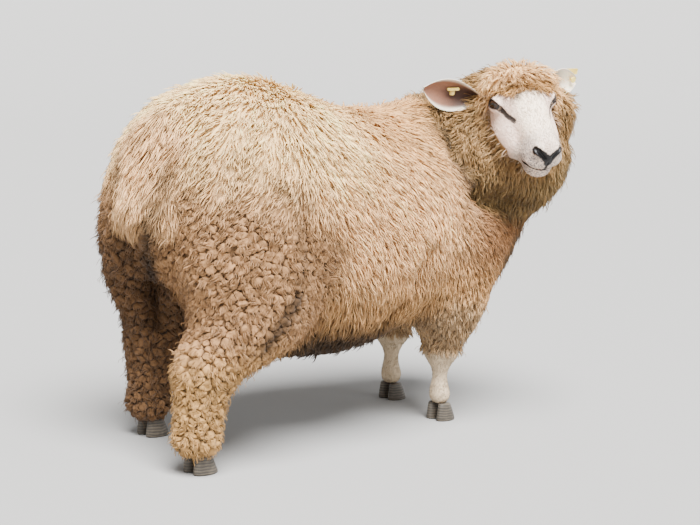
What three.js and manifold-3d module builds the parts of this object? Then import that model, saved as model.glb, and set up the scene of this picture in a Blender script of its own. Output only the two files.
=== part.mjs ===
// A standing sheep in medium-long wool, life size, its head turned back over its right side.
// Millimetres, +Z up. The sheep faces -Y, so its right side lies towards -X.
import * as THREE from "three";
import { mergeVertices } from "three/addons/utils/BufferGeometryUtils.js";
import Module from "manifold-3d";

const wasm = await Module();
wasm.setup();

// Driving dimensions: every length is taken over the tips of the wool
const rumpHeight = 724;
const withersHeight = 692;
const bellyHeight = 198;
const bodyWidth = 468;
const tailReach = 548; // behind the middle of the body
const brisketReach = 572; // in front of the middle of the body
const dockHeight = 400; // floor to the lowest wisp of the tail
const headPlace = new THREE.Vector3(-209, -343, 703); // midway between the eyes
const headTurn = 109; // degrees from straight ahead, to the right
const headDip = 41; // degrees from level to the line of the nose
const headTilt = 12; // degrees, left eye above the right
const eyeSpread = 74; // middle of the head to the front of each eye
const eyeRadius = 15;
const earLength = 136;
const earWidth = 70;
const tagThickness = 2;
const tagCorner = 2.5;
const pinRadius = 2;
const hoofHeight = 38;
const hoofLength = 60;
const hoofWidth = 25;
const gap = 0.4; // kept between pieces that meet
const earRootGap = 1.6;
const feet = {
  hind_right: { side: -1, x: -130, y: 452 },
  hind_left: { side: 1, x: 126, y: 352 },
  fore_right: { side: -1, x: -88, y: -282 },
  fore_left: { side: 1, x: 104, y: -338 },
};

// Cell sizes of the faceted surface
const trunkCell = 52;
const neckCell = 34;
const limbCell = 33.5;
const headCell = 25.5;
const muzzleCell = 14;
const tailCell = 24;
const shankCell = 18;

const materials = {
  wool: new THREE.MeshStandardMaterial({ color: 0xcdb08f, roughness: 0.95 }),
  dirtyWool: new THREE.MeshStandardMaterial({ color: 0xa88d66, roughness: 0.95 }),
  faceHair: new THREE.MeshStandardMaterial({ color: 0xe9dfd4, roughness: 0.85 }),
  ear: new THREE.MeshStandardMaterial({ color: 0xd8bfae, roughness: 0.8 }),
  eye: new THREE.MeshStandardMaterial({ color: 0x2a1c12, roughness: 0.08 }),
  horn: new THREE.MeshStandardMaterial({ color: 0x4a4136, roughness: 0.6 }),
  tag: new THREE.MeshStandardMaterial({ color: 0xf0cf3c, roughness: 0.4 }),
};

const degrees = (angle) => THREE.MathUtils.degToRad(angle);
const at = (x, y, z) => new THREE.Vector3(x, y, z);

// ---- Rounded lumps: each is a function that gives a point's distance to its surface

function egg(center, radii, turn = [0, 0, 0]) {
  const toLocal = new THREE.Matrix4()
    .makeRotationFromEuler(new THREE.Euler(...turn.map(degrees)))
    .setPosition(center)
    .invert();
  const local = new THREE.Vector3();
  const scaled = new THREE.Vector3();
  return (point) => {
    local.copy(point).applyMatrix4(toLocal);
    const reach = scaled.copy(local).divide(radii).length();
    const steepness = scaled.divide(radii).length();
    return steepness < 1e-9 ? -Math.min(radii.x, radii.y, radii.z) : (reach * (reach - 1)) / steepness;
  };
}

function bone(start, end, startRadius, endRadius) {
  const along = end.clone().sub(start);
  const span = along.lengthSq();
  const offset = new THREE.Vector3();
  return (point) => {
    const share = THREE.MathUtils.clamp(offset.copy(point).sub(start).dot(along) / span, 0, 1);
    offset.addScaledVector(along, -share);
    return offset.length() - THREE.MathUtils.lerp(startRadius, endRadius, share);
  };
}

function smoothMin(a, b, softness) {
  const nearness = Math.max(softness - Math.abs(a - b), 0) / softness;
  return Math.min(a, b) - (nearness * nearness * softness) / 4;
}

// Lumps run together one after another, each with the softness of its own crease
function blend(lumps) {
  return (point) =>
    lumps.reduce((distance, [lump, softness]) => smoothMin(distance, lump(point), softness), 1e4);
}

function moved(matrix, shape) {
  const toLocal = matrix.clone().invert();
  const local = new THREE.Vector3();
  return (point) => shape(local.copy(point).applyMatrix4(toLocal));
}

// ---- The sheep's form

const halfWidth = bodyWidth / 2;

function trunkLumps() {
  const back = withersHeight - 16;
  const barrel = (back - bellyHeight) / 2;
  const hips = 222;
  return [
    [egg(at(0, 10, back - barrel), at(halfWidth, 390, barrel)), 40],
    [egg(at(0, 75, 345), at(halfWidth - 36, 280, 184)), 70],
    [egg(at(0, 280, rumpHeight - hips), at(halfWidth - 6, 244, hips)), 80],
    [egg(at(0, -275, withersHeight - 222), at(halfWidth - 68, 225, 230)), 80],
    [egg(at(0, 160 - brisketReach, 440), at(122, 160, 204)), 90],
  ];
}

function tailLumps() {
  const root = at(0, tailReach - 104, rumpHeight - 86);
  const middle = at(0, tailReach - 50, dockHeight + 76);
  const end = at(-4, tailReach - 36, dockHeight + 16);
  return [
    [bone(root, middle, 44, 50), 30],
    [bone(middle, end, 42, 15), 24],
  ];
}

function hindLegLumps({ side, x, y }) {
  const stifle = at(side * 130, 316, 290);
  const hock = at(x, y - 4, 190);
  const fetlock = at(x, y + 2, 76);
  return [
    [egg(at(side * 118, 326, 415), at(108, 168, 218)), 30],
    [bone(stifle, hock, 90, 58), 50],
    [bone(hock, fetlock, 55, side < 0 ? 50 : 46), 30],
    [bone(fetlock, at(x, y - 6, hoofHeight - 4), 30, 24), 22],
  ];
}

function foreLegLumps({ side, x, y }) {
  const elbow = at(side * 108, y + 18, 260);
  const knee = at(x, y + 4, 168);
  const fetlock = at(x, y, 68);
  return [
    [egg(at(side * 106, y + 10, 350), at(82, 116, 170), [6, 0, 0]), 60],
    [bone(elbow, knee, 72, 48), 40],
    [bone(knee, fetlock, 27, 17), 16],
    [egg(fetlock, at(22, 24, 24)), 12],
    [bone(fetlock, at(x, y - 12, hoofHeight - 4), 20, 23), 12],
  ];
}

function neckLumps() {
  const [x, y, z] = headPlace.toArray();
  return [
    [bone(at(-10, -340, 520), at(-94, -452, 578), 158, 130), 70],
    [egg(at(x + 121, y - 63, z - 25), at(112, 100, 92)), 50], // nape
    [egg(at(x + 115, y - 75, z - 109), at(156, 138, 146), [0, 0, -20]), 30], // ruff
  ];
}

// The head in a frame of its own: the eyes' middle at 0, the nose towards -y, the left ear towards +x
const headFrame = new THREE.Matrix4().compose(
  headPlace,
  new THREE.Quaternion().setFromEuler(
    new THREE.Euler(degrees(headDip), degrees(-headTilt), degrees(-headTurn), "ZXY"),
  ),
  new THREE.Vector3(1, 1, 1),
);

function headLumps() {
  const sides = [-1, 1];
  return [
    [egg(at(0, 50, 8), at(92, 55, 41)), 12], // topknot
    [egg(at(-78, 34, -92), at(50, 58, 66)), 20], // near cheek
    [egg(at(94, 30, -80), at(58, 60, 68)), 20], // far cheek
    [egg(at(0, 22, -22), at(60, 78, 56)), 8], // skull
    [bone(at(0, -20, -10), at(0, -124, -12), 46, 34), 30], // nose
    [bone(at(0, 40, -74), at(0, -108, -54), 54, 30), 34], // jaw
    [egg(at(0, -126, -26), at(42, 29, 34)), 20], // lips
    [egg(at(0, -122, -64), at(29, 23, 16)), 14], // chin
    ...sides.map((side) => [egg(at(side * 47, 0, 0), at(21, 24, 21)), 12]), // brows
    ...sides.map((side) => [egg(at(side * 44, -44, -46), at(26, 60, 34)), 24]), // jowls
  ].map(([lump, softness]) => [moved(headFrame, lump), softness]);
}

const sheep = blend([
  ...trunkLumps(),
  ...tailLumps(),
  ...hindLegLumps(feet.hind_right),
  ...hindLegLumps(feet.hind_left),
  ...foreLegLumps(feet.fore_right),
  ...foreLegLumps(feet.fore_left),
  ...neckLumps(),
  ...headLumps(),
]);

// ---- Surface nets: one vertex in each cell that the surface crosses, then set on the surface

function gradient(field, point, step) {
  const probe = new THREE.Vector3();
  const slope = (axis) => {
    probe.copy(point).setComponent(axis, point.getComponent(axis) + step);
    const ahead = field(probe);
    probe.setComponent(axis, point.getComponent(axis) - step);
    return (ahead - field(probe)) / (2 * step);
  };
  return new THREE.Vector3(slope(0), slope(1), slope(2));
}

function netVertex(field, corner, cell, values) {
  const vertex = new THREE.Vector3();
  let crossings = 0;
  for (let a = 0; a < 8; a += 1) {
    for (const bit of [1, 2, 4]) {
      const b = a | bit;
      if (b === a || values[a] < 0 === values[b] < 0) continue;
      const share = values[a] / (values[a] - values[b]);
      const place = [1, 2, 4].map((axis) => (a & axis ? 1 : 0) + (axis === bit ? share : 0));
      vertex.add(at(...place));
      crossings += 1;
    }
  }
  vertex.multiplyScalar(cell / crossings).add(corner);
  const home = vertex.clone();
  for (let round = 0; round < 3; round += 1) {
    const slope = gradient(field, vertex, 0.5);
    vertex.addScaledVector(slope, -field(vertex) / Math.max(slope.lengthSq(), 0.2));
  }
  return vertex.distanceTo(home) < cell ? vertex : home;
}

function skinOf(field, low, high, cell) {
  const counts = high.clone().sub(low).divideScalar(cell).ceil().addScalar(1);
  const [nx, ny, nz] = counts.toArray();
  const index = (i, j, k) => (k * ny + j) * nx + i;
  const samples = new Float64Array(nx * ny * nz);
  for (let k = 0; k < nz; k += 1) {
    for (let j = 0; j < ny; j += 1) {
      for (let i = 0; i < nx; i += 1) {
        samples[index(i, j, k)] = field(at(i, j, k).multiplyScalar(cell).add(low));
      }
    }
  }
  const positions = [];
  const vertexOf = new Map();
  for (let k = 0; k < nz - 1; k += 1) {
    for (let j = 0; j < ny - 1; j += 1) {
      for (let i = 0; i < nx - 1; i += 1) {
        const corners = [0, 1, 2, 3, 4, 5, 6, 7];
        const values = corners.map((c) => samples[index(i + (c & 1), j + ((c >> 1) & 1), k + (c >> 2))]);
        const inside = values.filter((value) => value < 0).length;
        if (inside === 0 || inside === 8) continue;
        vertexOf.set(index(i, j, k), positions.length / 3);
        const corner = at(i, j, k).multiplyScalar(cell).add(low);
        positions.push(...netVertex(field, corner, cell, values).toArray());
      }
    }
  }
  const triangles = [];
  const point = (n) => new THREE.Vector3().fromArray(positions, 3 * n);
  const addQuad = (a, b, c, d) => {
    const shortWay = point(a).distanceTo(point(c)) <= point(b).distanceTo(point(d));
    triangles.push(...(shortWay ? [a, b, c, a, c, d] : [a, b, d, b, c, d]));
  };
  const steps = [at(1, 0, 0), at(0, 1, 0), at(0, 0, 1)];
  for (let k = 1; k < nz - 1; k += 1) {
    for (let j = 1; j < ny - 1; j += 1) {
      for (let i = 1; i < nx - 1; i += 1) {
        steps.forEach((step, axis) => {
          const here = samples[index(i, j, k)] < 0;
          const there = samples[index(i + step.x, j + step.y, k + step.z)] < 0;
          if (here === there) return;
          const u = steps[(axis + 1) % 3];
          const v = steps[(axis + 2) % 3];
          const ring = [[0, 0], [1, 0], [1, 1], [0, 1]].map(([p, q]) =>
            vertexOf.get(index(i - p * u.x - q * v.x, j - p * u.y - q * v.y, k - p * u.z - q * v.z)),
          );
          addQuad(...(here ? ring : ring.reverse()));
        });
      }
    }
  }
  const geometry = new THREE.BufferGeometry();
  geometry.setAttribute("position", new THREE.Float32BufferAttribute(positions, 3));
  geometry.setIndex(triangles);
  return geometry;
}

// ---- Cutting and joining

function toSolid(geometry) {
  const bare = geometry.clone();
  bare.deleteAttribute("normal");
  bare.deleteAttribute("uv");
  const merged = mergeVertices(bare, 1e-3);
  const mesh = new wasm.Mesh({
    numProp: 3,
    vertProperties: new Float32Array(merged.getAttribute("position").array),
    triVerts: new Uint32Array(merged.index.array),
  });
  return new wasm.Manifold(mesh);
}

function toGeometry(solid) {
  const mesh = solid.getMesh();
  const geometry = new THREE.BufferGeometry();
  geometry.setAttribute("position", new THREE.Float32BufferAttribute(mesh.vertProperties, 3));
  geometry.setIndex(Array.from(mesh.triVerts));
  return geometry;
}

// Rings of points, each with as many as the last, made one closed piece with flat-fanned ends
function loft(rings) {
  const count = rings[0].length;
  const middle = (ring) => ring.reduce((sum, p) => sum.add(p), at(0, 0, 0)).divideScalar(count);
  const points = [...rings.flat(), middle(rings[0]), middle(rings.at(-1))];
  const first = rings.length * count;
  const lastRing = (rings.length - 1) * count;
  const triangles = [];
  for (let n = 0; n < count; n += 1) {
    const next = (n + 1) % count;
    for (let r = 0; r < rings.length - 1; r += 1) {
      const [low, high] = [r * count, (r + 1) * count];
      triangles.push(low + n, low + next, high + next, low + n, high + next, high + n);
    }
    triangles.push(first, next, n, first + 1, lastRing + n, lastRing + next);
  }
  const geometry = new THREE.BufferGeometry().setFromPoints(points);
  geometry.setIndex(triangles);
  return geometry;
}

// Blocks of space that share the flesh out between the parts; size runs along the frame's own axes
function block(center, size, frame = new THREE.Matrix4()) {
  return { frame: frame.clone().setPosition(center), size };
}

function blockSolid({ frame, size }, grow) {
  const grown = size.clone().addScalar(2 * grow);
  return toSolid(new THREE.BoxGeometry(...grown.toArray()).applyMatrix4(frame));
}

function boxAround({ frame, size }) {
  return new THREE.Box3().setFromCenterAndSize(at(0, 0, 0), size).applyMatrix4(frame);
}

// The sheep inside a box, on a grid of its own
function meshWithin(box, cell, swell = 0) {
  const { min, max } = box;
  const walls = (p) => Math.max(min.x - p.x, p.x - max.x, min.y - p.y, p.y - max.y, min.z - p.z, p.z - max.z);
  const field = (point) => Math.max(sheep(point) - swell, walls(point));
  const margin = 1.5 * cell;
  return toSolid(skinOf(field, min.clone().subScalar(margin), max.clone().addScalar(margin), cell));
}

function carve(keep, cell, others) {
  const rough = meshWithin(boxAround(keep).expandByScalar(cell), cell);
  return others.reduce(
    (solid, other) => solid.subtract(blockSolid(other, gap / 2)),
    rough.intersect(blockSolid(keep, -gap / 2)),
  );
}

// A block that starts at a cut and runs away from it along the cut's normal
function beyond(point, normal, size) {
  const along = normal.clone().normalize();
  const frame = new THREE.Matrix4().lookAt(along, at(0, 0, 0), at(0, 0, 1));
  return block(point.clone().addScaledVector(along, size.z / 2), size, frame);
}

// ---- Where the cuts run

const muzzleBlock = {
  frame: headFrame.clone().multiply(new THREE.Matrix4().setPosition(0, -125, -20)),
  size: at(144, 190, 132),
};
const headBlock = beyond(at(-75, -395, 590), at(-0.8, -0.37, 0.48), at(344, 440, 340));
const neckBlock = beyond(at(-5, -420, 560), at(-0.25, -0.62, 0.74), at(640, 640, 480));
const tailBlock = beyond(at(0, tailReach - 44, 515), at(0, 1, 0.14), at(150, 300, 110));

function upperLegBlock(side, innerLow, outerHigh, length) {
  const away = at(outerHigh.z - innerLow.z, 0, innerLow.x - outerHigh.x);
  const middle = innerLow.clone().add(outerHigh).multiplyScalar(0.5);
  const mirror = at(side, 1, 1);
  return beyond(middle.multiply(mirror), away.multiply(mirror), at(length, 480, 300));
}

function lowerLegBlock({ x, y }, top) {
  return block(at(x, y, (top + hoofHeight + gap) / 2), at(180, 230, top - hoofHeight - gap));
}

const group = new THREE.Group();

function addPart(name, geometry, material) {
  const mesh = new THREE.Mesh(geometry, material);
  mesh.name = name;
  group.add(mesh);
}

// ---- Legs and hooves

// One claw: a flat sole, a long sloping front wall and an upright heel
function claw(x, y, side) {
  const levels = [
    { z: 0, length: 1, width: 1, back: 0 },
    { z: hoofHeight - 9, length: 0.74, width: 0.92, back: 7 },
    { z: hoofHeight, length: 0.6, width: 0.74, back: 10 },
  ];
  const corners = 10;
  return loft(
    levels.map(({ z, length, width, back }) =>
      Array.from({ length: corners }, (_, n) => {
        const angle = (2 * Math.PI * n) / corners;
        const forward = Math.cos(angle);
        const outward = Math.sin(angle) * (forward > 0 ? 1 - 0.3 * forward ** 2 : 1);
        const px = (outward * hoofWidth * width) / 2 - side * 1.5 * Math.max(forward, 0);
        return at(x + px, y + back - (forward * hoofLength * length) / 2, z);
      }),
    ),
  );
}

const legBlocks = [];
for (const [name, foot] of Object.entries(feet)) {
  const hind = name.startsWith("hind");
  const top = hind ? 186 : 158;
  const upper = hind
    ? upperLegBlock(foot.side, at(24, 412, 158), at(236, 412, 425), 375)
    : upperLegBlock(foot.side, at(20, foot.y, 190), at(170, foot.y, 400), 300);
  const lower = lowerLegBlock(foot, top);
  const under = block(at(0, 0, top / 2), at(900, 1600, top));
  addPart(`${name}_upper`, toGeometry(carve(upper, limbCell, [under])), materials.wool);
  const shank = carve(lower, hind ? limbCell : shankCell, []);
  addPart(`${name}_lower`, toGeometry(shank), hind ? materials.dirtyWool : materials.faceHair);
  legBlocks.push(upper, lower);
  for (const [word, step] of [["outer", foot.side], ["inner", -foot.side]]) {
    const x = foot.x + step * (hoofWidth / 2 + 1.5);
    addPart(`${name}_hoof_${word}`, claw(x, foot.y - 16, step), materials.horn);
  }
}

// ---- Trunk, tail and neck

const torso = new THREE.Box3(at(-270, -640, 120), at(270, 620, 780));
const trunk = [tailBlock, neckBlock, headBlock, muzzleBlock, ...legBlocks].reduce(
  (solid, other) => solid.subtract(blockSolid(other, gap / 2)),
  meshWithin(torso, trunkCell),
);
addPart("trunk", toGeometry(trunk), materials.wool);
addPart("tail", toGeometry(carve(tailBlock, tailCell, [])), materials.wool);
addPart("neck", toGeometry(carve(neckBlock, neckCell, [headBlock, muzzleBlock])), materials.wool);

// ---- Head, eyes and ears

function onHead(geometry) {
  return geometry.applyMatrix4(headFrame);
}

function eyeball(side, radius) {
  const ball = new THREE.SphereGeometry(radius, 12, 7).rotateZ(Math.PI / 2);
  return onHead(ball.translate(side * (eyeSpread - eyeRadius), -1, 0));
}

const sockets = [-1, 1].map((side) => toSolid(eyeball(side, eyeRadius + gap)));
const head = sockets.reduce(
  (solid, socket) => solid.subtract(socket),
  carve(headBlock, headCell, [muzzleBlock]),
);
addPart("head", toGeometry(head), materials.wool);
addPart("muzzle", toGeometry(carve(muzzleBlock, muzzleCell, [])), materials.faceHair);
addPart("eye_right", eyeball(-1, eyeRadius), materials.eye);
addPart("eye_left", eyeball(1, eyeRadius), materials.eye);

// An ear is a leaf, cupped towards its opening; u runs from root to tip, v from edge to edge
function earSurface({ side, root, reach, opening }) {
  const across = new THREE.Vector3().crossVectors(opening, reach).normalize();
  const out = new THREE.Vector3().crossVectors(reach, across);
  return (u, v, lift = 0) => {
    const halfWidth = (earWidth / 2) * Math.sin(Math.PI * (0.1 + 0.88 * u) ** 1.29) ** 0.75;
    const cup = 26 * (1 - 0.7 * u);
    const lowerBulge = v * side < 0 ? 1.08 : 0.92;
    return root
      .clone()
      .addScaledVector(reach, earLength * u)
      .addScaledVector(across, halfWidth * v * lowerBulge)
      .addScaledVector(out, cup * (v * v - 0.5) + 8 * u * u + lift);
  };
}

function earShell(surface) {
  const steps = 9;
  const strips = 6;
  const rings = Array.from({ length: steps + 1 }, (_, i) => {
    const row = Array.from({ length: strips + 1 }, (_unused, j) => (2 * j) / strips - 1);
    const front = row.map((v) => surface(i / steps, v));
    const back = row.map((v) => surface(i / steps, v, 2.2 * v * v - 4.5));
    return [...back, ...front.reverse()];
  });
  return loft(rings);
}

// A tag is a pin through the ear with a button or a flag on either side of it; x runs towards the
// tip and z out of the opening, both from the middle of the pin's hole
function plate({ x, y, z, width, height }) {
  const [w, h, r] = [width / 2 - tagCorner, height / 2 - tagCorner, tagCorner];
  const outline = new THREE.Shape()
    .absarc(w, h, r, 0, Math.PI / 2)
    .absarc(-w, h, r, Math.PI / 2, Math.PI)
    .absarc(-w, -h, r, Math.PI, 1.5 * Math.PI)
    .absarc(w, -h, r, 1.5 * Math.PI, 2 * Math.PI);
  const slab = new THREE.ExtrudeGeometry(outline, {
    depth: tagThickness,
    bevelEnabled: false,
    curveSegments: 2,
  });
  return toSolid(slab.translate(x, y, z));
}

function disc(radius, low, high, corners) {
  const drum = new THREE.CylinderGeometry(radius, radius, high - low, corners).rotateX(Math.PI / 2);
  return toSolid(drum.translate(0, 0, (low + high) / 2));
}

function tagFrame(surface, { u, v, turn }) {
  const nudge = 0.02;
  const place = surface(u, v);
  const along = surface(u + nudge, v).sub(place).normalize();
  const across = surface(u, v + nudge).sub(place);
  const out = new THREE.Vector3().crossVectors(along, across).normalize();
  const upward = new THREE.Vector3().crossVectors(out, along);
  return new THREE.Matrix4()
    .makeBasis(along, upward, out)
    .setPosition(place)
    .multiply(new THREE.Matrix4().makeRotationZ(degrees(turn)))
    .premultiply(headFrame);
}

const headRoom = meshWithin(boxAround(headBlock).expandByScalar(headCell), headCell, earRootGap);
const neckRoom = meshWithin(boxAround(neckBlock).expandByScalar(neckCell), neckCell, earRootGap);
const ears = {
  right: {
    side: -1,
    root: at(-68, 54, -38),
    reach: at(-97, 15, 25),
    opening: at(-0.31, -0.85, 0.54),
    tag: { u: 0.5, v: 0, turn: 150, front: 7.5, back: 8, plates: [{ x: 2, y: 8, z: 5, width: 28, height: 8 }] },
  },
  left: {
    side: 1,
    root: at(66, 58, -22),
    reach: at(88, 38, -34),
    opening: at(0.31, -0.85, 0.54),
    tag: {
      u: 0.86,
      v: 0.1,
      turn: 0,
      front: 6.5,
      back: 4,
      plates: [
        { x: 0, y: 7, z: -7.5, width: 12, height: 22 },
        { x: -2, y: 16, z: -7.5, width: 44, height: 13 },
      ],
    },
  },
};
for (const [name, ear] of Object.entries(ears)) {
  ear.reach.normalize();
  const { tag } = ear;
  const surface = earSurface(ear);
  const frame = tagFrame(surface, tag);
  const toEar = (solid) => toSolid(toGeometry(solid).applyMatrix4(frame));
  const hole = toEar(disc(pinRadius + 1.5 * gap, -14, 10, 8));
  const shell = toSolid(onHead(earShell(surface))).subtract(headRoom).subtract(neckRoom);
  addPart(`ear_${name}`, toGeometry(shell.subtract(hole)), materials.ear);
  const studs = [
    disc(pinRadius, -6.5, 5, 8),
    disc(tag.front, 2.6, 6, 10),
    disc(tag.back, -7.5, -5.5, 10),
    ...tag.plates.map(plate),
  ];
  const body = studs.reduce((solid, stud) => solid.add(stud));
  addPart(`tag_${name}`, toGeometry(toEar(body)), materials.tag);
}

// ---- Stand the sheep on the middle of its own plan

const extent = new THREE.Box3().setFromObject(group);
const middle = extent.getCenter(at(0, 0, 0));
for (const mesh of group.children) {
  mesh.geometry.translate(-middle.x, -middle.y, -extent.min.z);
}

export default group;
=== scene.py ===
import bpy, math
import numpy as np
from mathutils import Euler, Matrix, Vector, bvhtree, kdtree


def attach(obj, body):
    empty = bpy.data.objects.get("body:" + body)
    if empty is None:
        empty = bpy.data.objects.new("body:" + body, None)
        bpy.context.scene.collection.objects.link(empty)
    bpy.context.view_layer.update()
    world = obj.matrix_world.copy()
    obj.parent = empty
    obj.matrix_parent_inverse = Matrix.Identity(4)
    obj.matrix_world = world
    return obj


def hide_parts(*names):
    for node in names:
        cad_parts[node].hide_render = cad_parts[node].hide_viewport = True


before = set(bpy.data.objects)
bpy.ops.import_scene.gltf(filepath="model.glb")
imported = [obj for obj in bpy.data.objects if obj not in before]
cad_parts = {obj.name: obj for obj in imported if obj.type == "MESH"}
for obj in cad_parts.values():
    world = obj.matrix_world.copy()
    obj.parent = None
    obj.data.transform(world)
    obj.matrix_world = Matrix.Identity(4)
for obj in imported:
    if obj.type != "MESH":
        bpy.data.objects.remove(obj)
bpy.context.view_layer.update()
scene = bpy.context.scene
mm = 0.001
middleX = 0.046

# Camera, light and floor

viewSetup = {
    "azimuth": 222.73,
    "elevation": 7.92,
    "roll": 4.29,
    "lens": 81.85,
    "sensor": 36,
    "picture": (700, 525),
    "place": (-2.185, 2.368, 0.801),
}
tilt = math.radians(90 - viewSetup["elevation"])
viewTurn = Euler((tilt, 0, math.radians(viewSetup["azimuth"]))).to_matrix()
viewTurn = viewTurn @ Matrix.Rotation(math.radians(viewSetup["roll"]), 3, "Z")


def addObject(name, data):
    made = bpy.data.objects.new(name, data)
    scene.collection.objects.link(made)
    return made


def addCamera():
    data = bpy.data.cameras.new("camera")
    data.sensor_width = viewSetup["sensor"]
    data.lens = viewSetup["lens"]
    data.clip_end = 200
    camera = addObject("camera", data)
    camera.matrix_world = Matrix.Translation(viewSetup["place"]) @ viewTurn.to_4x4()
    scene.camera = camera


lightSetup = {
    "sky": (0.95, 0.97, 1.0),
    "skyStrength": 0.37,
    "sunFrom": (-0.46, 0.30, 1.0),
    "sunStrength": 18.5,
    "sunSpread": 38,
    "lamps": [
        # place, size, watts
        ((-3.0, -1.2, 1.9), 2.4, 40),
        ((-2.2, 3.2, 1.6), 2.4, 16),
    ],
    "lampsAim": (0, 0, 0.5),
}


def addLights():
    world = bpy.data.worlds.new("studio")
    world.use_nodes = True
    sky = world.node_tree.nodes["Background"]
    sky.inputs["Color"].default_value = (*lightSetup["sky"], 1)
    sky.inputs["Strength"].default_value = lightSetup["skyStrength"]
    scene.world = world
    data = bpy.data.lights.new("sun", "SUN")
    data.energy = lightSetup["sunStrength"]
    data.angle = math.radians(lightSetup["sunSpread"])
    sun = addObject("sun", data)
    sun.rotation_euler = Vector(lightSetup["sunFrom"]).to_track_quat("Z", "Y").to_euler()
    for n, (place, size, watts) in enumerate(lightSetup["lamps"]):
        data = bpy.data.lights.new(f"lamp{n}", "AREA")
        data.shape = "DISK"
        data.size = size
        data.energy = watts
        lamp = addObject(f"lamp{n}", data)
        lamp.location = place
        aim = Vector(lightSetup["lampsAim"]) - Vector(place)
        lamp.rotation_euler = aim.to_track_quat("-Z", "Y").to_euler()


floorSetup = {
    # rings outwards, then the reach up to which it is level and its height at the edge
    "reaches": (4, 8, 10, 14, 20, 28, 38, 50, 60),
    "spokes": 96,
    "level": 10,
    "rise": 26,
    "paint": (0.29, 0.286, 0.279, 1),
}


def addFloor():
    # Curves up far away so that no edge shows
    spokes, level, reaches = floorSetup["spokes"], floorSetup["level"], floorSetup["reaches"]
    points, faces = [(0, 0, 0)], []
    for n, reach in enumerate(reaches):
        height = floorSetup["rise"] * (max(0, reach - level) / (reaches[-1] - level)) ** 2
        for s in range(spokes):
            turn = 2 * math.pi * s / spokes
            points.append((reach * math.cos(turn), reach * math.sin(turn), height))
            a, b = 1 + n * spokes + s, 1 + n * spokes + (s + 1) % spokes
            faces.append((a - spokes, a, b, b - spokes) if n else (0, a, b))
    mesh = bpy.data.meshes.new("floor")
    mesh.from_pydata(points, [], faces)
    mesh.polygons.foreach_set("use_smooth", [True] * len(faces))
    floor = addObject("floor", mesh)
    paint = newMaterial("studioFloor", Base_Color=floorSetup["paint"], Roughness=0.9)[0]
    mesh.materials.append(paint)


# Materials


def setInputs(made, settings):
    for key, value in settings.items():
        made.inputs[key.replace("_", " ")].default_value = value


def newMaterial(name, **settings):
    material = bpy.data.materials.new(name)
    material.use_nodes = True
    tree = material.node_tree
    shader = tree.nodes["Principled BSDF"]
    setInputs(shader, settings)
    return material, tree, shader


def node(tree, kind, **settings):
    made = tree.nodes.new("ShaderNode" + kind)
    setInputs(made, settings)
    return made


def mixColor(tree, mode, factor, a, b):
    mix = node(tree, "Mix")
    mix.data_type = "RGBA"
    mix.blend_type = mode
    for socket, value in ((mix.inputs[0], factor), (mix.inputs[6], a), (mix.inputs[7], b)):
        if isinstance(value, bpy.types.NodeSocket):
            tree.links.new(value, socket)
        else:
            socket.default_value = value
    return mix.outputs[2]


def shaded(tree, color, shade):
    return mixColor(tree, "MULTIPLY", 1.0, color, shade)


def product(tree, a, b):
    made = node(tree, "Math")
    made.operation = "MULTIPLY"
    tree.links.new(a, made.inputs[0])
    tree.links.new(b, made.inputs[1])
    return made.outputs[0]


def attribute(tree, name, output="Fac"):
    made = node(tree, "Attribute")
    made.attribute_name = name
    return made.outputs[output]


def ramp(tree, source, *stops):
    made = node(tree, "ValToRGB")
    elements = made.color_ramp.elements
    for n, (place, level) in enumerate(stops):
        stop = elements[n] if n < 2 else elements.new(place)
        stop.position = place
        stop.color = level if isinstance(level, tuple) else (level, level, level, 1)
    tree.links.new(source, made.inputs["Fac"])
    return made.outputs["Color"]


def bump(tree, height, strength, distance, below=None):
    made = node(tree, "Bump", Strength=strength, Distance=distance)
    tree.links.new(height, made.inputs["Height"])
    if below is not None:
        tree.links.new(below, made.inputs["Normal"])
    return made.outputs["Normal"]


def onObject(tree, kind, output, **settings):
    made = node(tree, kind, **settings)
    tree.links.new(node(tree, "TexCoord").outputs["Object"], made.inputs["Vector"])
    return made.outputs[output]


def objectNoise(tree, scale, detail=4.0):
    return onObject(tree, "TexNoise", "Fac", Scale=scale, Detail=detail)


def dress(made, color, normal):
    material, tree, shader = made
    tree.links.new(color, shader.inputs["Base Color"])
    tree.links.new(normal, shader.inputs["Normal"])
    return material


def woolMaterial():
    # Locks: colour from the root, fibre streaks along each lock
    made = newMaterial(
        "wool", Roughness=0.82, Sheen_Weight=0.08, Sheen_Roughness=0.5, Specular_IOR_Level=0.15
    )
    tree = made[1]
    lock = node(tree, "UVMap")
    lock.uv_map = "Lock"
    stretch = node(tree, "Mapping", Scale=(26, 3.5, 1))
    fibres = node(tree, "TexNoise", Scale=1.0, Detail=3.0)
    tree.links.new(lock.outputs["UV"], stretch.inputs["Vector"])
    tree.links.new(stretch.outputs["Vector"], fibres.inputs["Vector"])
    streak = ramp(tree, fibres.outputs["Fac"], (0.3, 0.80), (0.7, 1.0))
    patch = ramp(tree, objectNoise(tree, 9.0, 3.0), (0.35, 0.93), (0.65, 1.0))
    color = shaded(tree, shaded(tree, attribute(tree, "tint", "Color"), streak), patch)
    return dress(made, color, bump(tree, fibres.outputs["Fac"], 0.5, 0.0012))


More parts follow.
